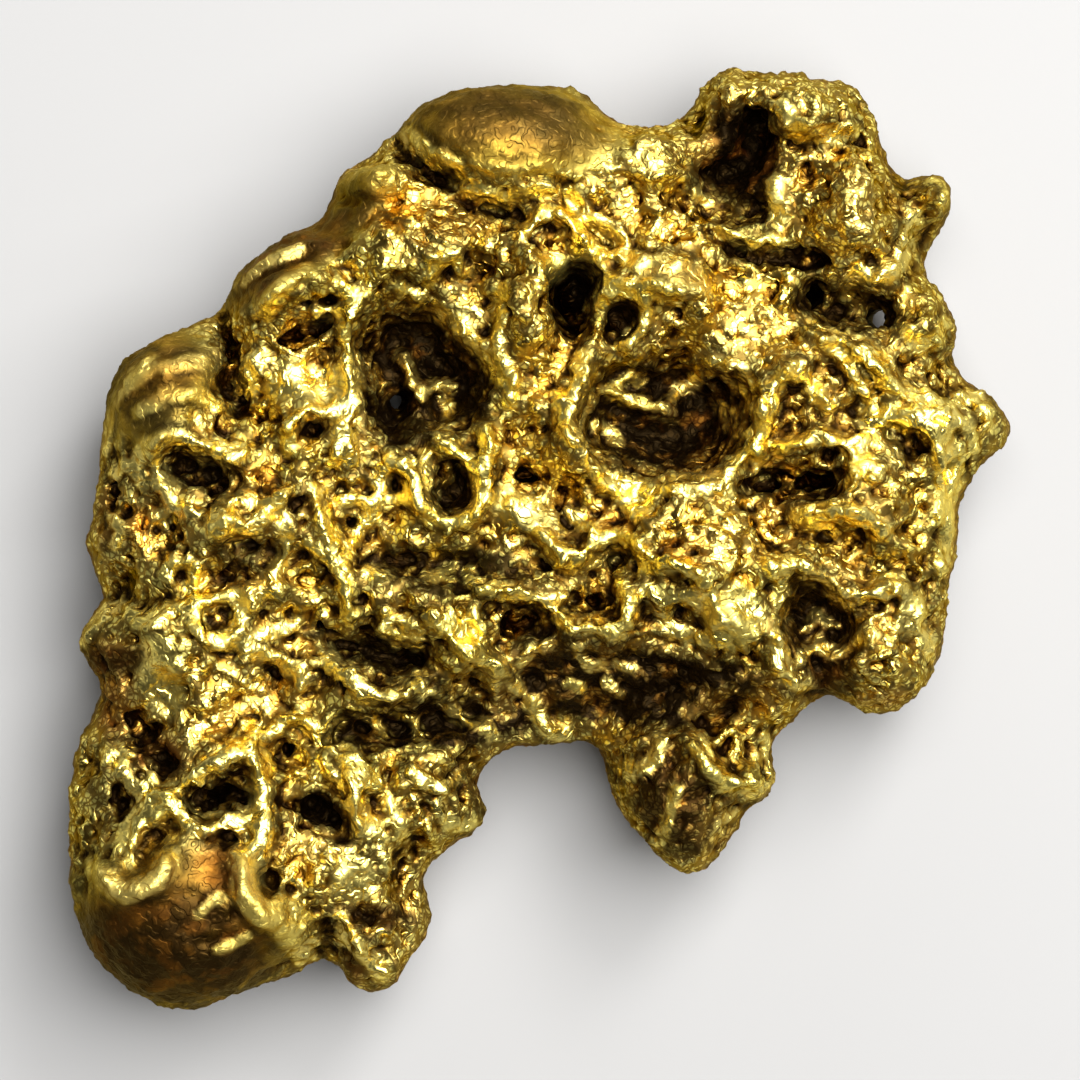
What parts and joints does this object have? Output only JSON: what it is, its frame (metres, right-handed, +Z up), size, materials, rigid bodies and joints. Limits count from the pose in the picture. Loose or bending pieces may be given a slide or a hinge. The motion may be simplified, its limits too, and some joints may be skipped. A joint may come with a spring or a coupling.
{
  "type": "gold nugget",
  "caption": "Natural gold nugget lying on its back: an irregular lump with worn domes, a deeply pitted face, a round bulb and a spike beside an open bay.",
  "frame": {"origin": "on the plane the nugget lies on, under the middle of its bounding box", "axes": "+Z up, out of the pitted face, the nugget's shortest way; +Y towards the broad worn dome, +X towards the pointed east corner"},
  "size_m": [0.0378, 0.0376, 0.011],
  "materials": {
    "raw_gold": "satin"
  },
  "bodies": {
    "root": {"nugget": "raw_gold"}
  },
  "joints": []
}
